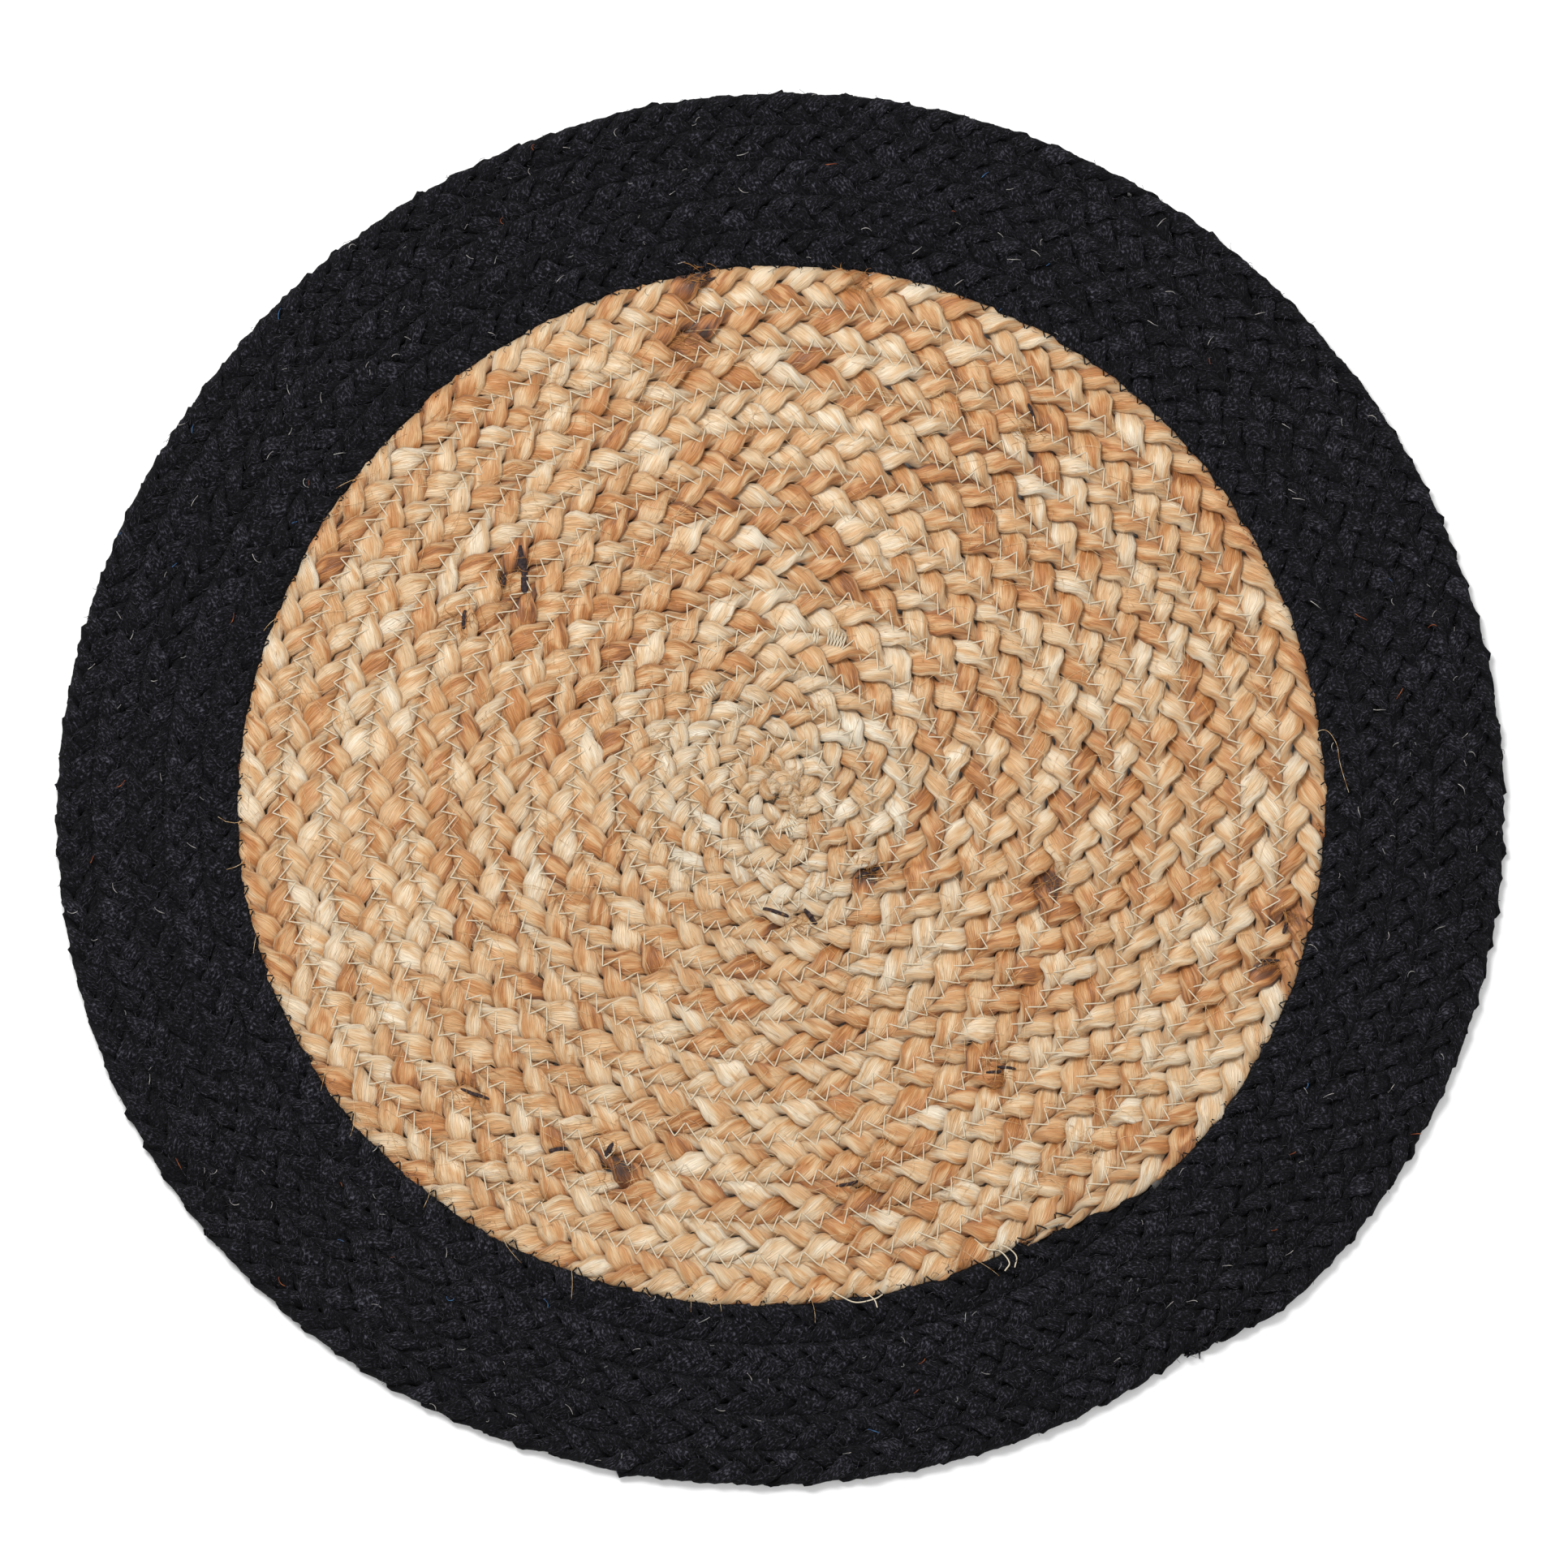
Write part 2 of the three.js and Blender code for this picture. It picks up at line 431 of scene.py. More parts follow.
def strand_shape(plait, index):
    """The skin of one strand: ring corners, tones and lengths."""
    turns, phase = plait_phase(plait)
    rings = int(phase[-1] / TAU * plait.steps)
    own_phase = np.linspace(0.0, phase[-1], rings)
    turn = np.interp(own_phase, phase, turns)
    crossing = own_phase + TAU * index / STRANDS_PER_PLAIT
    rng = np.random.default_rng(plait.seed * SEEDS_PER_PLAIT + index)

    inner, outer = plait.edges(turn)
    room = (outer - inner) / plait.width
    thick_room = np.where(turn < 1, np.maximum(room, SMALLEST_START_ROOM), room)
    lean = lobe_values(rng, crossing, -plait.lean, plait.lean)
    reach = (outer - inner) / 2 - plait.edge_half_depth * room * EDGE_GAP_SHARE
    lateral = reach * np.sin(crossing) + lean * room
    arch = plait.arch_share * (plait.thickness / 2 - plait.half_depth)
    height = arch * np.sin(2 * crossing) * lobe_values(rng, crossing, *LOBE_HEIGHTS)
    level = plait.thickness / 2 + height
    points = on_coil(turn, (inner + outer) / 2 + lateral, level)
    lengths = lengths_along(points)

    across, upright = side_axes(points)
    faced = np.sign(np.cos(crossing)) * np.abs(np.cos(crossing)) ** ROLL_POWER
    roll = (math.pi / 2) * (1 - faced) + lobe_values(rng, crossing, -LOBE_ROLL, LOBE_ROLL)
    wide = np.cos(roll)[:, None] * across - np.sin(roll)[:, None] * upright
    thick = np.cos(roll)[:, None] * upright + np.sin(roll)[:, None] * across

    at_edge = np.sin(crossing) ** EDGE_POWER
    at_crown = np.abs(np.sin(2 * crossing)) ** CROWN_POWER
    fullness = lobe_values(rng, crossing, *LOBE_FULLNESS)
    tucked = np.minimum(lengths, lengths[-1] - lengths) / END_TUCK_LENGTH
    closing = mix(END_SIZE_SHARE, 1.0, smoothstep(tucked))
    underneath = np.sin(2 * crossing) < 0
    fullness = mix(fullness, np.maximum(fullness, 1.0), at_crown * underneath)
    crown_half_width = np.where(underneath, plait.under_half_width, plait.half_width)
    half_width = mix(plait.waist_half_width, crown_half_width, at_crown)
    half_width = mix(half_width, plait.edge_half_width, at_edge) * thick_room * fullness * closing
    half_width = half_width * mix(TIGHTEST_WIDTH_SHARE, 1.0, smoothstep(turn / TIGHT_TURNS))
    squeezed = np.minimum(1.0, mix(NARROWEST_DEPTH_SHARE, 1.0, thick_room))
    half_depth = mix(plait.half_depth, plait.edge_half_depth, at_edge) * closing
    half_depth = half_depth * squeezed * mix(1.0, 1 / fullness, FLATTENED_SHARE)

    around = np.arange(plait.sides) / plait.sides * TAU
    ribs = yarn_ribs(rng, plait, lengths) * (1 - EDGE_CALM * at_edge)[:, None]
    reach_across = half_width[:, None] * np.cos(around)[None, :] * (1 + RIB_SHARE_ACROSS * ribs)
    reach_through = half_depth[:, None] * np.sin(around)[None, :] * (1 + ribs)
    skin = (
        points[:, None, :]
        + wide[:, None, :] * reach_across[:, :, None]
        + thick[:, None, :] * reach_through[:, :, None]
    )
    skin[:, :, 2] = np.clip(skin[:, :, 2], 0.0, None)
    tone = lobe_values(rng, crossing, 0.0, plait.lobe_tone)
    tone = tone + DRIFT_TONE * (1 + wander(rng, lengths, DRIFT_LENGTH))
    if plait is JUTE:
        stained = np.clip(lobe_values(rng, crossing, *LOBE_STAINS), 0.0, 1.0)
        tone = tone - stained * bark_stain(points) + CORE_PALENESS * (turn < CORE_TURNS)
    painted_crest_light = smoothstep(0.5 + np.abs(skin[:, :, 2] / plait.thickness - 0.5))
    # Painted light and shade: paler on raised ribs and on the crests at the top and bottom, darker in grooves
    # and on the deep sides where a strand dives under the others
    tones = tone[:, None] + RIB_PAINTED_SHADING * ribs + plait.crest_tone * (painted_crest_light - PAINTED_CREST_LEVEL)
    return skin, tones, lengths


def make_strand(name, plait, index, material):
    skin, tones, lengths = strand_shape(plait, index)
    rings, sides = skin.shape[:2]
    quads, lids = ring_faces(rings, sides)
    uvs = ring_uvs(lengths, sides, PERIMETER_PER_AXES * (plait.half_width + plait.half_depth))
    strand = mesh_object(name, skin.reshape(-1, 3), quads, lids, uvs, tones.ravel())
    strand.data.materials.append(material)
    return strand, skin


# ---------------------------------------------------------------- colours and materials
def linear(hex_colour):
    """An sRGB hex colour as linear red, green, blue and alpha."""
    channels = [int(hex_colour[i:i + 2], 16) / 255 for i in (1, 3, 5)]
    turned = [c / 12.92 if c <= 0.04045 else ((c + 0.055) / 1.055) ** 2.4 for c in channels]
    return (*turned, 1.0)


def node(tree, kind, settings=None, inputs=None):
    """Adds a node with its settings, and sets or links its inputs by name."""
    added = tree.nodes.new(kind)
    for key, value in (settings or {}).items():
        setattr(added, key, value)
    for key, value in (inputs or {}).items():
        if isinstance(value, bpy.types.NodeSocket):
            tree.links.new(value, added.inputs[key])
        else:
            added.inputs[key].default_value = value
    return added


def new_material(name, settings):
    """A material whose shader's own sockets are set, with its tree and shader."""
    material = bpy.data.materials.new(name)
    material.use_nodes = True
    tree = material.node_tree
    shader = tree.nodes["Principled BSDF"]
    for key, value in settings.items():
        shader.inputs[key].default_value = value
    return material, tree, shader


def colour_ramp(tree, factor, stops):
    ramp = node(tree, "ShaderNodeValToRGB", inputs={"Fac": factor})
    while len(ramp.color_ramp.elements) < len(stops):
        ramp.color_ramp.elements.new(0.5)
    for element, (position, colour) in zip(ramp.color_ramp.elements, stops):
        element.position = position
        element.color = linear(colour)
    return ramp.outputs["Color"]


def fibre_noise(tree, width, length, detail, low, high, wave=0.0):
    """Noise drawn out along the fibres, in millimetres across and along, spread to run from 0 to 1."""
    fibres = node(tree, "ShaderNodeUVMap", {"uv_map": "along_fibre"})
    drawn_out = node(
        tree,
        "ShaderNodeMapping",
        inputs={"Vector": fibres.outputs["UV"], "Scale": (1 / (width * MM), 1 / (length * MM), 1.0)},
    )
    noise = node(
        tree,
        "ShaderNodeTexNoise",
        inputs={"Vector": drawn_out.outputs["Vector"], "Scale": 1.0, "Detail": detail, "Distortion": wave},
    )
    spread = node(
        tree, "ShaderNodeMapRange", inputs={"Value": noise.outputs["Fac"], "From Min": low, "From Max": high}
    )
    return spread.outputs["Result"]


def weighed(tree, value, weight, added):
    """The value times its weight, plus another value."""
    return node(
        tree, "ShaderNodeMath", {"operation": "MULTIPLY_ADD"}, {0: value, 1: weight, 2: added}
    ).outputs[0]


def unspun_jute():
    """Unspun jute: long flat golden fibres laid side by side. The eye gets a silky sheen broken by fine
    pale and brown streaks along the strand, hanks of different gold, and dark gaps between fibres. The
    streaks in the colour follow the bump: partly the fibres' own tones, partly painted highlights on the
    fibres and painted shade in the gaps between them."""
    material, tree, shader = new_material(
        "unspun_jute", {"Roughness": 0.42, "Specular IOR Level": 0.55, "Sheen Weight": 0.1}
    )
    streaks = fibre_noise(tree, width=0.16, length=5.0, detail=2.0, low=0.32, high=0.68, wave=0.6)
    hanks = fibre_noise(tree, width=2.0, length=10.0, detail=1.0, low=0.38, high=0.62, wave=0.8)
    tone = node(tree, "ShaderNodeAttribute", {"attribute_name": "tone"}).outputs["Fac"]
    lightness = weighed(tree, tone, 0.52, 0.045)
    lightness = weighed(tree, hanks, 0.28, lightness)
    # The streaks are paler where the bump is high: partly the fibres' own tones, partly painted fibre
    # highlights and painted shade between fibres
    lightness = weighed(tree, streaks, 0.14, lightness)
    colour = colour_ramp(
        tree,
        lightness,
        (
            (0.0, "#3a2216"),
            (0.14, "#7d4820"),
            (0.3, "#b5753c"),
            (0.5, "#cda06f"),
            (0.68, "#d9bc96"),
            (0.95, "#e8dcc6"),
        ),
    )
    tree.links.new(colour, shader.inputs["Base Color"])
    bump = node(
        tree, "ShaderNodeBump", inputs={"Height": streaks, "Strength": 1.0, "Distance": 0.2 * MM}
    )
    tree.links.new(bump.outputs["Normal"], shader.inputs["Normal"])
    return material


def black_cotton_yarn():
    """Soft-spun black cotton yarn: matt, with a bloom of fine fuzz over it. The eye gets yarn ridges that
    wind round each strand, a random mottle of charcoal grey and no shiny highlights. The fine fuzz pattern
    is painted paler where it stands up and darker in its dips, as painted highlights and painted shade."""
    material, tree, shader = new_material(
        "black_cotton_yarn",
        {
            "Roughness": 0.95,
            "Specular IOR Level": 0.1,
            "Sheen Weight": 0.06,
            "Sheen Roughness": 0.6,
            "Sheen Tint": linear("#8f8d96"),
        },
    )
    fuzz = fibre_noise(tree, width=0.35, length=0.8, detail=4.0, low=0.36, high=0.66)
    tone = node(tree, "ShaderNodeAttribute", {"attribute_name": "tone"}).outputs["Fac"]
    place = node(tree, "ShaderNodeTexCoord")
    bloom = node(
        tree,
        "ShaderNodeTexNoise",
        inputs={
            "Vector": place.outputs["Object"],
            "Scale": 1 / (1.6 * MM),
            "Detail": 5.0,
            "Roughness": 0.7,
        },
    )
    lightness = weighed(tree, tone, 0.3, -0.06)
    lightness = weighed(tree, bloom.outputs["Fac"], 0.55, lightness)
    # The fuzz noise also drives the bump: painted highlights where the fuzz stands up, painted shade in its
    # dips
    lightness = weighed(tree, fuzz, 0.35, lightness)
    colour = colour_ramp(
        tree, lightness, ((0.2, "#020203"), (0.42, "#09090b"), (0.58, "#1a1a1f"), (0.8, "#53525c"))
    )
    tree.links.new(colour, shader.inputs["Base Color"])
    bump = node(
        tree, "ShaderNodeBump", inputs={"Height": fuzz, "Strength": 1.0, "Distance": 0.4 * MM}
    )
    tree.links.new(bump.outputs["Normal"], shader.inputs["Normal"])
    return material


PLY_SPACING = 0.4 * MM
PLY_SLANT = math.radians(35)


def sewing_thread(name, gloss, shadow_colour, light_colour):
    """Two-ply sewing thread: smooth and slightly shiny, with its twist as fine slanting bands."""
    material, tree, shader = new_material(name, {"Roughness": 0.55, "Specular IOR Level": gloss})
    fibres = node(tree, "ShaderNodeUVMap", {"uv_map": "along_fibre"})
    twist_map = node(
        tree,
        "ShaderNodeMapping",
        inputs={
            "Vector": fibres.outputs["UV"],
            "Rotation": (0, 0, PLY_SLANT),
            "Scale": (1 / PLY_SPACING, 1 / PLY_SPACING, 1.0),
        },
    )
    twist = node(
        tree,
        "ShaderNodeTexWave",
        inputs={"Vector": twist_map.outputs["Vector"], "Scale": 0.5, "Distortion": 1.0},
    )
    colour = colour_ramp(tree, twist.outputs["Fac"], ((0.0, shadow_colour), (0.6, light_colour)))
    tree.links.new(colour, shader.inputs["Base Color"])
    bump = node(
        tree,
        "ShaderNodeBump",
        inputs={"Height": twist.outputs["Fac"], "Strength": 0.4, "Distance": 0.04 * MM},
    )
    tree.links.new(bump.outputs["Normal"], shader.inputs["Normal"])
    return material


def loose_fibre(name, settings, stops):
    """Single fibres with little gloss. The eye gets darker and lighter stretches along each one."""
    material, tree, shader = new_material(name, settings)
    change = fibre_noise(tree, width=2.0, length=2.5, detail=1.0, low=0.3, high=0.7)
    tree.links.new(colour_ramp(tree, change, stops), shader.inputs["Base Color"])
    return material


def jute_bark():
    """Scraps of bark left on the jute: dull, almost black brown, with ragged lengthwise grain."""
    material, tree, shader = new_material("jute_bark", {"Roughness": 0.85, "Specular IOR Level": 0.25})
    place = node(tree, "ShaderNodeTexCoord")
    grain = node(
        tree,
        "ShaderNodeTexNoise",
        inputs={"Vector": place.outputs["Object"], "Scale": 1 / (0.6 * MM), "Detail": 4.0},
    )
    colour = colour_ramp(
        tree, grain.outputs["Fac"], ((0.3, "#1c1517"), (0.55, "#33282a"), (0.75, "#5e4431"))
    )
    tree.links.new(colour, shader.inputs["Base Color"])
    bump = node(
        tree, "ShaderNodeBump", inputs={"Height": grain.outputs["Fac"], "Strength": 0.8, "Distance": 0.2 * MM}
    )
    tree.links.new(bump.outputs["Normal"], shader.inputs["Normal"])
    return material


# ---------------------------------------------------------------- the sewn surface
SURFACE_CELL = 0.6 * MM
SURFACE_MARGIN = 10
BETWEEN_RINGS = (0.0, 0.33, 0.67)


class Surface:
    """The highest and lowest places of the plaits, so that threads and fibres lie on them."""

    def __init__(self, skins):
        points = np.concatenate(
            [mix(skin[:-1], skin[1:], share).reshape(-1, 3) for skin in skins for share in BETWEEN_RINGS]
        )
        self.low = points[:, :2].min(axis=0) - SURFACE_MARGIN * SURFACE_CELL
        span = points[:, :2].max(axis=0) - self.low
        self.size = (span / SURFACE_CELL).astype(int) + SURFACE_MARGIN + 2
        cells = self.cells(points[:, 0], points[:, 1])
        self.top = np.zeros(self.size)
        self.under = np.full(self.size, JUTE_THICKNESS)
        np.maximum.at(self.top, cells, points[:, 2])
        np.minimum.at(self.under, cells, points[:, 2])
        self.top = self.spread(self.top, np.maximum)
        self.under = self.spread(self.under, np.minimum)

    def cells(self, x, y):
        column = np.clip(((x - self.low[0]) / SURFACE_CELL).astype(int), 0, self.size[0] - 1)
        row = np.clip(((y - self.low[1]) / SURFACE_CELL).astype(int), 0, self.size[1] - 1)
        return column, row

    @staticmethod
    def spread(heights, keep):
        """Each cell takes the highest or lowest value of itself and the cells round it."""
        for axis in (0, 1):
            heights = keep(heights, keep(np.roll(heights, 1, axis), np.roll(heights, -1, axis)))
        return heights

    def height(self, x, y, on_top):
        return (self.top if on_top else self.under)[self.cells(x, y)]


# ---------------------------------------------------------------- zigzag seams
STITCH_WIDTH = 4.4 * MM
STITCH_WIDTH_CHANGE = 0.06
STITCH_LENGTH_SHARES = (0.9, 1.1)
OUTWARD_ARM_SHARE = 0.3
SEAM_WANDER = 0.45 * MM
SEAM_WANDER_LENGTH = 60 * MM
THREAD_RADIUS = 0.19 * MM
THREAD_SIDES = 5
TACK_STITCH_LENGTH = 0.9 * MM
TACK_LENGTH = 5 * MM
RUN_BREAK = 2 * MM

CENTRE_SEAM_START = 0.35
CENTRE_SEAM_END = 2.92
INNER_SEAM_END = 4.04
JUTE_SEAM_END = JUTE_TURNS - 1
COTTON_SEAM_END = COIL_TURNS - 1

# How far a seam is set outwards from the line between two turns
CREAM_SHIFT = -0.35 * MM
BLACK_SHIFT = 1.0 * MM

# Each run's start, end, stitch length and shift, whether it starts and ends with a tack, and its thread
SEAM_RUNS = (
    ("centre_seam", CENTRE_SEAM_START, CENTRE_SEAM_END, 4.6 * MM, CREAM_SHIFT, (True, True), "cream_thread"),
    ("inner_seam", CENTRE_SEAM_END, INNER_SEAM_END, 5.2 * MM, CREAM_SHIFT, (False, True), "cream_thread"),
    ("jute_seam", INNER_SEAM_END, JUTE_SEAM_END, 6.0 * MM, CREAM_SHIFT, (True, False), "cream_thread"),
    ("cotton_seam", JUTE_SEAM_END, COTTON_SEAM_END, 6.2 * MM, BLACK_SHIFT, (False, False), "black_thread"),
)
FIRST_SEAM_SEED = 31


def needle_holes(rng, start, end, stitch_length, outward, tack_start, tack_end):
    """Turns and radii of the needle holes of one seam run, outer and inner side in turn."""
    turns = np.linspace(start, end, int((end - start) * FINE_STEPS_PER_TURN))
    lengths = lengths_along(on_coil(turns, coil_radius(turns), 0.0))
    total = lengths[-1]
    places = []
    place = 0.0
    outer_side = True
    while place < total:
        places.append((place, outer_side))
        in_tack = (tack_start and place < TACK_LENGTH) or (tack_end and place > total - TACK_LENGTH)
        pitch = TACK_STITCH_LENGTH if in_tack else stitch_length * rng.uniform(*STITCH_LENGTH_SHARES)
        place += pitch * (1 - OUTWARD_ARM_SHARE if outer_side else OUTWARD_ARM_SHARE)
        outer_side = not outer_side
    place = np.array([p for p, _ in places])
    side = np.array([1.0 if outer else -1.0 for _, outer in places])
    turn = np.interp(place, lengths, turns)
    shift = outward + SEAM_WANDER * wander(rng, place, SEAM_WANDER_LENGTH)
    width = STITCH_WIDTH * (1 + STITCH_WIDTH_CHANGE * rng.uniform(-1, 1, len(place)))
    return turn, coil_radius(turn) + shift + side * width / 2


# Points along each arm of the zigzag, and how taut the arm is drawn between its ends
ARM_SHARES = (0.08, 0.3, 0.7, 0.92)
TAUTNESS = 0.6

# How deep the thread goes at its holes, and how far its arms sink into the jute and into the cotton
OUTER_HOLE_DEPTH = 0.5 * MM
INNER_HOLE_DEPTH = 1.4 * MM
BITE = 0.15 * MM
COTTON_BITE = 1.2 * MM


def stitch_path(surface, turn, radius, on_top):
    """A thread that dips into every hole and runs over or under the plaits between them."""
    holes = on_coil(turn, radius, 0.0)
    side = 1.0 if on_top else -1.0
    rise = surface.height(holes[:, 0], holes[:, 1], on_top) * side
    share = np.array(ARM_SHARES)[None, :]
    arms = mix(holes[:-1, None, :], holes[1:, None, :], share[:, :, None])
    arm_turn = mix(turn[:-1, None], turn[1:, None], share)
    arm_radius = mix(radius[:-1, None], radius[1:, None], share)
    past_jute = (arm_turn > JUTE_SEAM_END) & (arm_radius > coil_radius(arm_turn))
    bite = np.where(past_jute | (arm_turn > JUTE_TURNS), COTTON_BITE, BITE)
    lie = surface.height(arms[:, :, 0], arms[:, :, 1], on_top) * side
    taut = mix(lie[:, :1], lie[:, -1:], share)
    arms[:, :, 2] = mix(lie, taut, TAUTNESS) - bite
    is_outer = np.arange(len(holes)) % 2 == 0
    holes[:, 2] = rise - np.where(is_outer, OUTER_HOLE_DEPTH, INNER_HOLE_DEPTH)
    stitches = np.concatenate([holes[:-1, None, :], arms], axis=1)
    path = np.concatenate([stitches.reshape(-1, 3), holes[-1:]])
    path[:, 2] = np.clip(path[:, 2] * side, THREAD_RADIUS, None)
    return path


def round_tube(path, radius, sides):
    """Rings of points of an even tube along a path."""
    across, upright = side_axes(path)
    around = (np.arange(sides) / sides * TAU)[None, :, None]
    return path[:, None, :] + radius * (
        across[:, None, :] * np.cos(around) + upright[:, None, :] * np.sin(around)
    )


def make_tubes(name, paths, radius, sides, material):
    """Closed tubes of one radius as one piece, such as a thread or a scatter of fibres."""
    vertices = []
    quads = []
    lids = []
    uvs = []
    first = 0
    for path in paths:
        tube_quads, tube_lids = ring_faces(len(path), sides, first)
        vertices.append(round_tube(path, radius, sides).reshape(-1, 3))
        quads += tube_quads
        lids += tube_lids
        uvs.append(ring_uvs(lengths_along(path), sides, TAU * radius))
        first += len(path) * sides
    piece = mesh_object(name, np.concatenate(vertices), quads, lids, np.concatenate(uvs))
    piece.data.materials.append(material)
    return piece


def finish_piece(piece, slot, *nodes):
    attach(piece, "root")
    if nodes:
        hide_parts(*nodes)


def make_seam(surface, rng, material, name, start, end, stitch_length, outward, tacks, slot):
    """The needle thread on top and the bobbin thread underneath, which share their holes."""
    run_start = start + RUN_BREAK / (TAU * float(coil_radius(np.array([start]))[0]))
    turn, radius = needle_holes(rng, run_start, end, stitch_length, outward, *tacks)
    for side, on_top in (("needle", True), ("bobbin", False)):
        path = stitch_path(surface, turn, radius, on_top)
        thread = make_tubes(f"{name}_{side}_stitches", [path], THREAD_RADIUS, THREAD_SIDES, material)
        finish_piece(thread, slot, f"{name}_{side}_thread")


# ---------------------------------------------------------------- loose fibres, lint and bark
FIBRE_STEPS = 5
FIBRE_SIDES = 3
STEEPEST_FALL = 0.5
FUZZ_OVERLAP = 0.15
HEADING_SPREAD = 0.4
CURL_CHANGE_SHARE = 0.5
FIRST_LIFT_ANGLE = 0.2


def braid_places(rng, count, plait, first_turn, last_turn):
    """Random places on a braid between two turns, spread evenly over it."""
    turn = np.sqrt(rng.uniform(first_turn ** 2, last_turn ** 2, count))
    inner, outer = plait.edges(turn)
    places = on_coil(turn, mix(inner, outer, rng.uniform(-FUZZ_OVERLAP, 1, count)), 0.0)
    return places[:, 0], places[:, 1]


def spot_places(rng, spots, each):
    """Random places in a small cluster at each spot, given by distance in mm and angle in degrees."""
    distance = np.array([spot[0] * MM for spot in spots for _ in range(each)])
    angle = np.radians([spot[1] for spot in spots for _ in range(each)])
    spread = np.array([spot[2] * MM / 3 for spot in spots for _ in range(each)])
    return (
        distance * np.cos(angle) + spread * rng.normal(0, 1, len(angle)),
        distance * np.sin(angle) + spread * rng.normal(0, 1, len(angle)),
    )


def loose_paths(rng, surface, places, lengths, bend, slant, float_height):
    """Paths of loose fibres that lie on the top from their places on, at a slant to the braid."""
    x, y = places
    count = len(x)
    along_coil = np.arctan2(y, x) + TAU / 4
    heading = along_coil + rng.choice([-1, 1], count) * slant + rng.normal(0, HEADING_SPREAD, count)
    stride = rng.uniform(*lengths, count) / FIBRE_STEPS
    curl = rng.normal(0, bend, count)
    rows = []
    for _ in range(FIBRE_STEPS + 1):
        rows.append(np.stack([x, y], axis=-1))
        x = x + stride * np.cos(heading)
        y = y + stride * np.sin(heading)
        heading = heading + curl + rng.normal(0, CURL_CHANGE_SHARE * bend, count)
    flat = np.stack(rows, axis=1)
    heights = surface.height(flat[:, :, 0], flat[:, :, 1], True)
    eased = (heights + np.roll(heights, 1, axis=1) + np.roll(heights, -1, axis=1)) / 3
    heights[:, 1:-1] = np.maximum(heights, eased)[:, 1:-1]
    for step in range(1, FIBRE_STEPS + 1):
        lowest = heights[:, step - 1] - STEEPEST_FALL * stride
        heights[:, step] = np.maximum(heights[:, step], lowest)
    bow = np.sin(np.linspace(FIRST_LIFT_ANGLE, math.pi, FIBRE_STEPS + 1))
    lift = rng.uniform(0, float_height, (count, 1)) * bow
    return np.concatenate([flat, (heights + lift)[:, :, None]], axis=2)


def through_points(points):
    """A smooth path through a few points."""
    padded = np.concatenate([[2 * points[0] - points[1]], points, [2 * points[-1] - points[-2]]])
    share = np.linspace(0, 1, STEPS_BETWEEN_POINTS, endpoint=False)[:, None]
    parts = []
    for before, low, high, after in zip(padded[:-3], padded[1:-2], padded[2:-1], padded[3:]):
        parts.append(
            low
            + 0.5 * share * (high - before)
            + share ** 2 * (before - 2.5 * low + 2 * high - 0.5 * after)
            + share ** 3 * (1.5 * (low - high) + 0.5 * (after - before))
        )
    return np.concatenate(parts + [points[-1:]])


# Ends of the cream thread left loose near the jute's rim, as x, y and height over the mat in mm
THREAD_TAILS = (
    (
        (50.5, -124.5, -1.2),
        (53.8, -127.2, 0.3),
        (57.2, -128.2, 0.6),
        (59.6, -131.2, 0.5),
        (58.4, -133.6, 0.3),
    ),
    ((55.0, -126.0, -1.2), (58.6, -127.0, 0.5), (61.4, -129.2, 0.6), (61.0, -132.4, 0.3)),
    (
        (12.0, -137.5, -1.2),
        (15.6, -140.2, 0.3),
        (19.6, -141.9, 0.5),
        (24.4, -141.0, 0.5),
        (26.6, -139.4, 0.3),
    ),
    ((22.0, -138.5, -1.2), (24.4, -141.2, 0.5), (25.2, -143.4, 0.3)),
    ((7.2, -136.6, -1.2), (8.6, -139.4, 0.5), (7.4, -141.6, 0.3)),
)

# One long loose fibre that lies from the jute out over the cotton, in the same way
LONG_FIBRE = (
    (138.0, 12.0, 0.0),
    (142.6, 13.6, 1.0),
    (145.6, 10.0, 1.4),
    (146.6, 4.0, 0.9),
    (148.8, -3.2, 0.4),
)
LONG_FIBRE_RADIUS = 0.07 * MM
STEPS_BETWEEN_POINTS = 8


def on_surface(surface, points_mm):
    points = np.array(points_mm) * MM
    points[:, 2] += surface.height(points[:, 0], points[:, 1], True)
    return points


def make_fibres(name, paths, radius, material, slot):
    finish_piece(make_tubes(name, paths, radius, FIBRE_SIDES, material), slot)


LITTLE_GLOSS = {"Roughness": 0.85, "Specular IOR Level": 0.2}
FIBRE_SEED = 51
STRAY_JUTE_COUNT = 1700
STRAY_JUTE_END = JUTE_TURNS - 0.5

# Where the middle is frayed: distance from the middle, angle and reach
MIDDLE_SPOTS = ((2.5, 250, 9), (5, 300, 7), (4, 20, 6))
FIBRES_PER_MIDDLE_SPOT = 34
FIBRES_PER_STAIN = 24

# The fuzz on the cotton is two pieces, so that neither has too many faces
FUZZ_SPLIT_TURN = JUTE_TURNS + 2.6
FUZZ_RINGS = (
    ("cotton_fuzz_inside", JUTE_TURNS, FUZZ_SPLIT_TURN, 5400),
    ("cotton_fuzz_outside", FUZZ_SPLIT_TURN, COIL_TURNS, 5800),
)


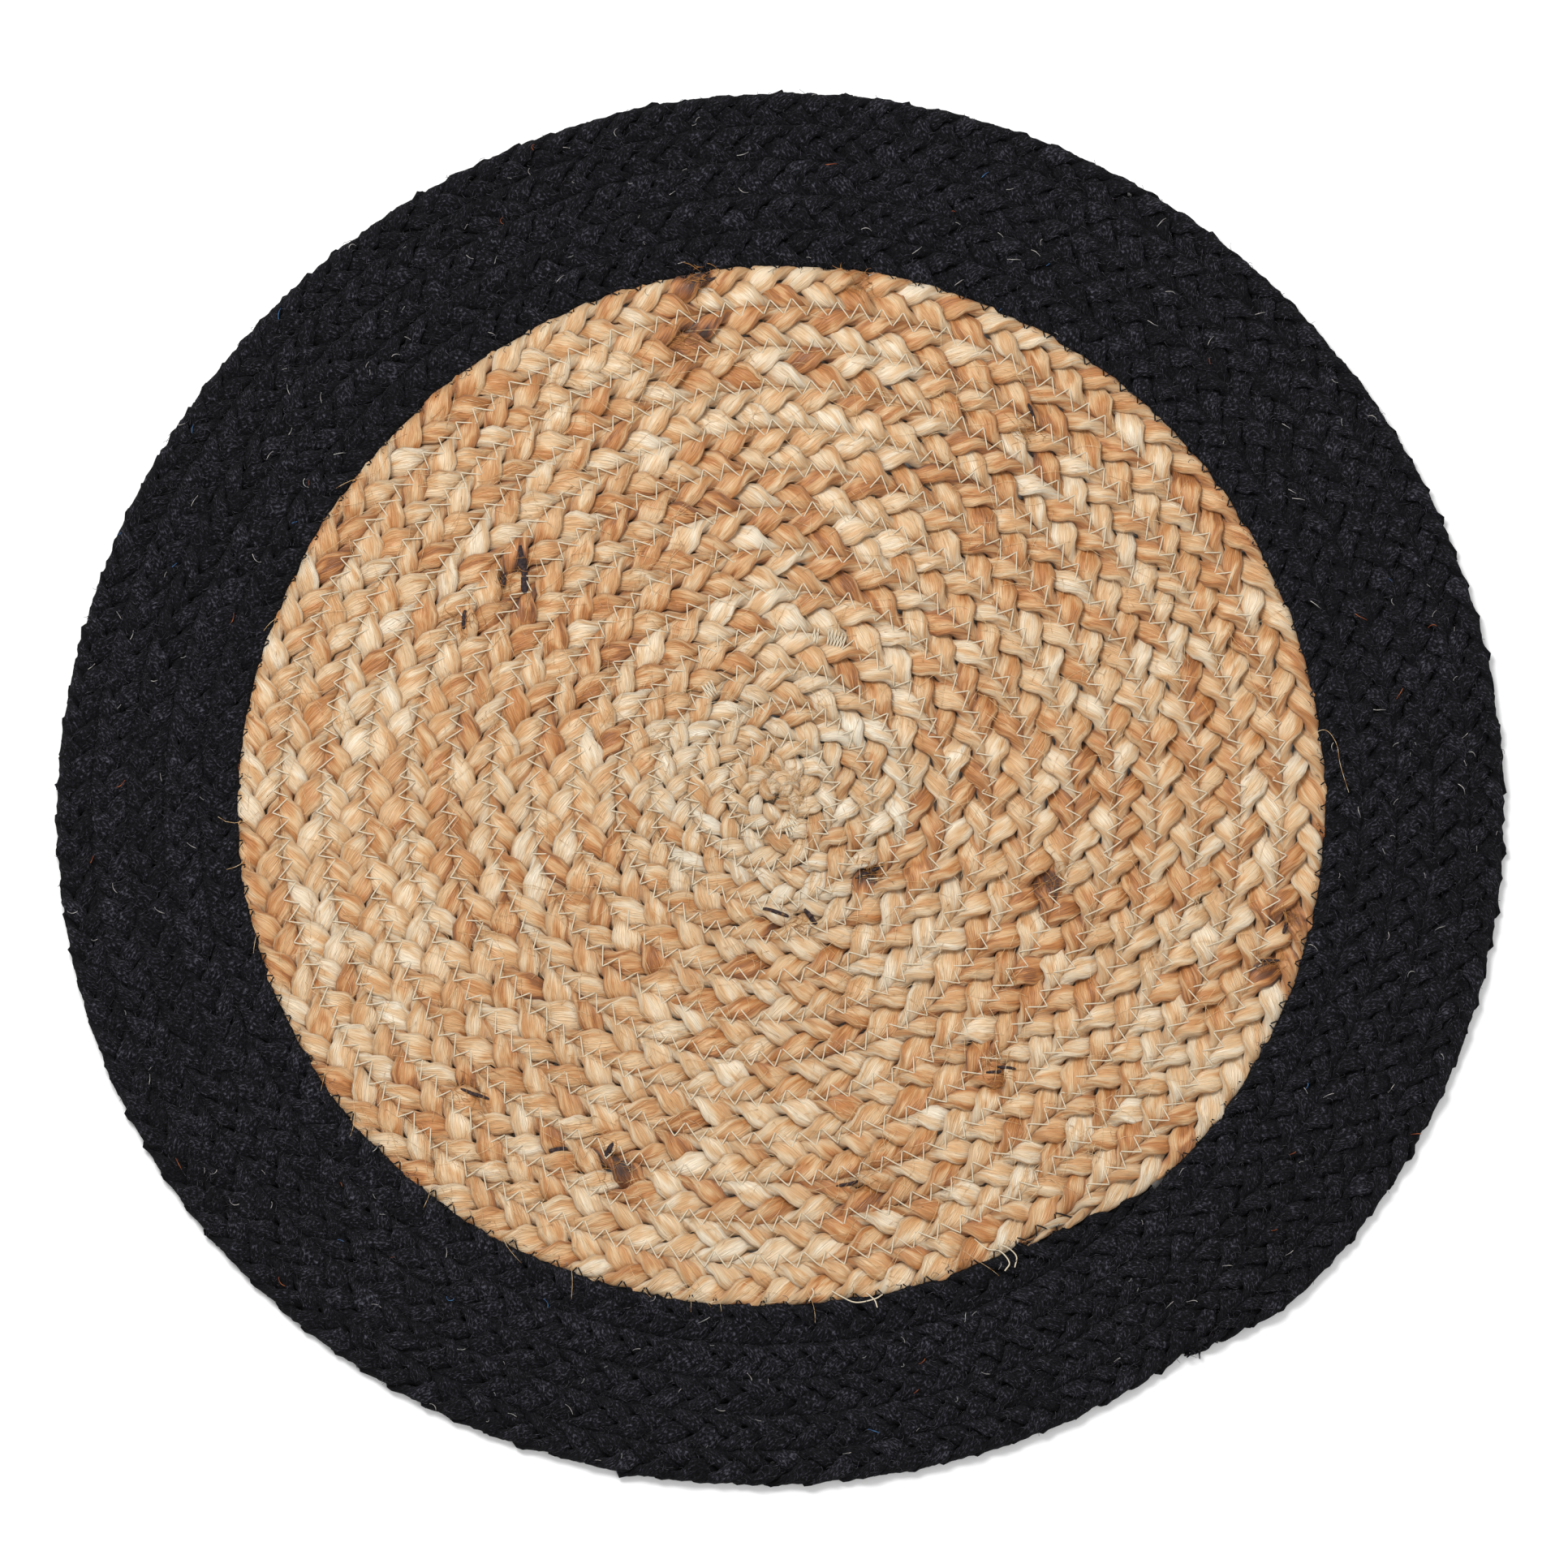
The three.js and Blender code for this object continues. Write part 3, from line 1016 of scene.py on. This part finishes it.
def make_loose_fibres(surface, stray_jute):
    """Fibres that stand or fall loose: jute strays and frays, cotton fuzz and lint. They are drawn
    coarser than real ones, as coarse as they need to show."""
    brown_fibre = loose_fibre(
        "frayed_brown_fibre",
        {"Roughness": 0.7, "Specular IOR Level": 0.3},
        ((0.2, "#7a4d26"), (0.8, "#c08a4e")),
    )
    cotton_fuzz = loose_fibre(
        "black_cotton_fuzz",
        {"Roughness": 0.9, "Specular IOR Level": 0.15},
        ((0.2, "#1b1a1e"), (0.6, "#504d54"), (1.0, "#a5a1a8")),
    )
    grey_lint = loose_fibre("grey_lint", LITTLE_GLOSS, ((0.2, "#6f6c6c"), (0.8, "#c9c4bd")))
    blue_lint = loose_fibre("blue_lint", LITTLE_GLOSS, ((0.2, "#2a3f63"), (0.8, "#4f7fae")))
    rust_lint = loose_fibre("rust_lint", LITTLE_GLOSS, ((0.2, "#5f2a18"), (0.8, "#a8623c")))

    rng = np.random.default_rng(FIBRE_SEED)
    places = braid_places(rng, STRAY_JUTE_COUNT, JUTE, 0, STRAY_JUTE_END)
    strays = loose_paths(
        rng, surface, places, (4 * MM, 13 * MM), bend=0.12, slant=0.55, float_height=0.4 * MM
    )
    make_fibres("stray_jute_fibres", strays, 0.06 * MM, stray_jute, "jute")

    places = spot_places(rng, BARK_STAINS, FIBRES_PER_STAIN)
    brown = loose_paths(
        rng, surface, places, (2 * MM, 6 * MM), bend=0.25, slant=0.5, float_height=0.3 * MM
    )
    make_fibres("frayed_brown_fibres", brown, 0.07 * MM, brown_fibre, "jute")

    places = spot_places(rng, MIDDLE_SPOTS, FIBRES_PER_MIDDLE_SPOT)
    middle = loose_paths(
        rng, surface, places, (1.5 * MM, 4.5 * MM), bend=0.12, slant=0.6, float_height=0.25 * MM
    )
    make_fibres("frayed_middle_fibres", middle, 0.05 * MM, stray_jute, "jute")

    for name, inside, outside, count in FUZZ_RINGS:
        places = braid_places(rng, count, COTTON, inside, outside)
        fuzz = loose_paths(
            rng, surface, places, (0.8 * MM, 2.6 * MM), bend=0.42, slant=0.5, float_height=0.6 * MM
        )
        make_fibres(name, fuzz, 0.06 * MM, cotton_fuzz, "cotton")

    lint = (
        ("pale_lint", 170, grey_lint, 0.1 * MM),
        ("blue_lint", 14, blue_lint, 0.12 * MM),
        ("rust_lint", 22, rust_lint, 0.12 * MM),
    )
    for name, count, material, radius in lint:
        places = braid_places(rng, count, COTTON, JUTE_TURNS, COIL_TURNS)
        bits = loose_paths(
            rng, surface, places, (0.8 * MM, 3.5 * MM), bend=0.22, slant=0.5, float_height=0.4 * MM
        )
        make_fibres(name, bits, radius, material, "cotton")


def make_loose_ends(surface, cream_thread, stray_jute):
    """The thread ends left loose near the jute's rim, and the one long fibre."""
    tails = [through_points(on_surface(surface, tail)) for tail in THREAD_TAILS]
    ends = make_tubes("loose_thread_ends", tails, THREAD_RADIUS, THREAD_SIDES, cream_thread)
    finish_piece(ends, "cream_thread")
    long_fibre = through_points(on_surface(surface, LONG_FIBRE))
    make_fibres("long_stray_fibre", [long_fibre], LONG_FIBRE_RADIUS, stray_jute, "jute")


# Bark scraps: distance from the middle and angle, length, width and lie, in mm and degrees
BARK_SCRAPS = (
    (89, 139.5, 13, 2.5, 96),
    (91, 143, 4, 1.2, 84),
    (94, 152, 5, 1.5, 84),
    (117, 227, 8, 1.0, 160),
    (116, 240, 5, 1.1, 10),
    (110, 246, 4, 1.3, 60),
    (111, 279, 6, 0.9, 15),
    (36, 268, 7, 1.1, 165),
    (38, 282, 5, 1.3, 130),
    (34, 313, 8, 0.8, 25),
    (97, 305, 4, 0.9, 5),
    (98, 307, 5, 0.8, 170),
    (139, 98, 5, 0.9, 20),
    (137, 339, 5, 0.8, 175),
    (138, 343, 3, 1.0, 70),
    (121, 57, 4, 0.9, 115),
)
BARK_SEED = 71
BARK_THICKNESS = 0.7 * MM
BARK_CUTS = 9
BARK_EDGE_SHARES = (0.86, 1.06)
BARK_WAVE = 0.12 * MM
BARK_CROWN = 0.9
BARK_END_TAPER = 0.5
BARK_END_POWER = 4
BARK_EASED_CUTS = 5


def make_bark(surface, material):
    """Flat scraps with ragged edges and narrow ends, each shaped from its own small block."""
    rng = np.random.default_rng(BARK_SEED)
    scraps = []
    for distance, angle, length, width, lie in BARK_SCRAPS:
        x = distance * MM * math.cos(math.radians(angle))
        y = distance * MM * math.sin(math.radians(angle))
        turned = math.radians(lie)
        out = np.linspace(-length / 2, length / 2, BARK_CUTS + 2) * MM
        over = surface.height(x + out * math.cos(turned), y + out * math.sin(turned), True)
        padded = np.pad(over, BARK_EASED_CUTS // 2, mode="edge")
        eased = np.convolve(padded, np.full(BARK_EASED_CUTS, 1 / BARK_EASED_CUTS), mode="valid")
        lies_at = np.maximum(over, eased) - BARK_THICKNESS / 4
        bpy.ops.object.select_all(action="DESELECT")
        bpy.ops.mesh.primitive_cube_add(size=1.0, scale=(length * MM, width * MM, BARK_THICKNESS))
        scrap = bpy.context.object
        bpy.ops.object.transform_apply(location=True, rotation=True, scale=True)
        bpy.ops.object.mode_set(mode="EDIT")
        bpy.ops.mesh.select_all(action="SELECT")
        bpy.ops.mesh.subdivide(number_cuts=BARK_CUTS)
        bpy.ops.object.mode_set(mode="OBJECT")
        ragged = rng.uniform(*BARK_EDGE_SHARES, (BARK_CUTS + 2, 2))
        wavy = rng.uniform(-BARK_WAVE, BARK_WAVE, BARK_CUTS + 2)
        for vertex in scrap.data.vertices:
            along = vertex.co.x / (length * MM) + 0.5
            column = round(along * (BARK_CUTS + 1))
            vertex.co.z += lies_at[column] + wavy[column] - BARK_CROWN * vertex.co.y ** 2 / (width * MM)
            narrowed = 1 - BARK_END_TAPER * abs(2 * along - 1) ** BARK_END_POWER
            vertex.co.y *= ragged[column, int(vertex.co.y > 0)] * narrowed
        scrap.location = (x, y, 0)
        scrap.rotation_euler = (0, 0, turned)
        bpy.ops.object.transform_apply(location=True, rotation=True, scale=True)
        scraps.append(scrap)
    bpy.ops.object.select_all(action="DESELECT")
    for scrap in scraps:
        scrap.select_set(True)
    bpy.context.view_layer.objects.active = scraps[0]
    bpy.ops.object.join()
    bark = bpy.context.object
    bark.name = "bark_scraps"
    bark.data.materials.clear()
    bark.data.materials.append(material)
    finish_piece(bark, "jute")


# ---------------------------------------------------------------- camera, light and floor
CAMERA_ELEVATION = math.radians(73.3)
LENS = 600.0
SENSOR = 36.0
FILLED_SHARE = 0.924
AIM_RIGHT = 0.9 * MM
AIM_BACK = -0.2 * MM

# Soft round lights that point at the mat: name, place, size across in metres and power in watts
SOFT_LIGHTS = (
    ("softbox_back_left", (-0.45, 0.45, 1.3), 0.7, 16.5),
    ("softbox_front", (0.5, -0.9, 1.3), 1.0, 6.7),
)
STUDIO_BRIGHTNESS = 0.58

FLOOR_SIZE = 12.0
FLOOR_DROP = 0.1 * MM


def make_camera():
    distance = (cad_high[0] - cad_low[0]) / FILLED_SHARE * LENS / SENSOR
    data = bpy.data.cameras.new("camera")
    data.lens = LENS
    data.sensor_width = SENSOR
    data.clip_end = 2 * distance
    camera = bpy.data.objects.new("camera", data)
    bpy.context.scene.collection.objects.link(camera)
    target = (AIM_RIGHT, AIM_BACK, (cad_low[2] + cad_high[2]) / 2)
    camera.location = (
        target[0],
        target[1] - distance * math.cos(CAMERA_ELEVATION),
        target[2] + distance * math.sin(CAMERA_ELEVATION),
    )
    camera.rotation_euler = (math.pi / 2 - CAMERA_ELEVATION, 0, 0)
    bpy.context.scene.camera = camera


def soft_light(name, place, size, power):
    data = bpy.data.lights.new(name, "AREA")
    data.shape = "DISK"
    data.size = size
    data.energy = power
    light = bpy.data.objects.new(name, data)
    bpy.context.scene.collection.objects.link(light)
    light.location = place
    to_mat = -Vector(place)
    light.rotation_euler = to_mat.to_track_quat("-Z", "Y").to_euler()


def make_lights():
    for name, place, size, power in SOFT_LIGHTS:
        soft_light(name, place, size, power)
    world = bpy.data.worlds.new("studio")
    world.use_nodes = True
    background = world.node_tree.nodes["Background"]
    background.inputs["Color"].default_value = (1.0, 1.0, 1.0, 1.0)
    background.inputs["Strength"].default_value = STUDIO_BRIGHTNESS
    bpy.context.scene.world = world
    bpy.context.scene.view_settings.view_transform = "Standard"


def make_floor():
    bpy.ops.object.select_all(action="DESELECT")
    bpy.ops.mesh.primitive_plane_add(size=FLOOR_SIZE, location=(0, 0, -FLOOR_DROP))
    floor = bpy.context.object
    floor.name = "floor"
    bpy.ops.object.transform_apply(location=True, rotation=True, scale=True)
    paper, _, _ = new_material("matt_white_paper", {"Roughness": 0.9, "Base Color": linear("#fafafa")})
    floor.data.materials.append(paper)


# ---------------------------------------------------------------- the mat
make_camera()
make_lights()
make_floor()

jute_material = unspun_jute()
cotton_material = black_cotton_yarn()
thread_materials = {
    "cream_thread": sewing_thread("unbleached_sewing_thread", 0.4, "#b9ab94", "#d6c9b0"),
    "black_thread": sewing_thread("black_sewing_thread", 0.15, "#08080a", "#131316"),
}
stray_jute = loose_fibre(
    "stray_jute_fibre",
    {"Roughness": 0.5, "Specular IOR Level": 0.5},
    ((0.2, "#a56f3a"), (0.5, "#d8b27c"), (0.9, "#f3e3c4")),
)

skins = []
for index, letter in enumerate("abc"):
    strand, skin = make_strand(f"jute_strand_{letter}", JUTE, index, jute_material)
    finish_piece(strand, "jute", "jute_braid")
    skins.append(skin)
    strand, skin = make_strand(f"cotton_strand_{letter}", COTTON, index, cotton_material)
    finish_piece(strand, "cotton", "cotton_braid")
    skins.append(skin)
surface = Surface(skins)

for seed, run in enumerate(SEAM_RUNS, FIRST_SEAM_SEED):
    make_seam(surface, np.random.default_rng(seed), thread_materials[run[-1]], *run)

make_loose_fibres(surface, stray_jute)
make_loose_ends(surface, thread_materials["cream_thread"], stray_jute)
make_bark(surface, jute_bark())
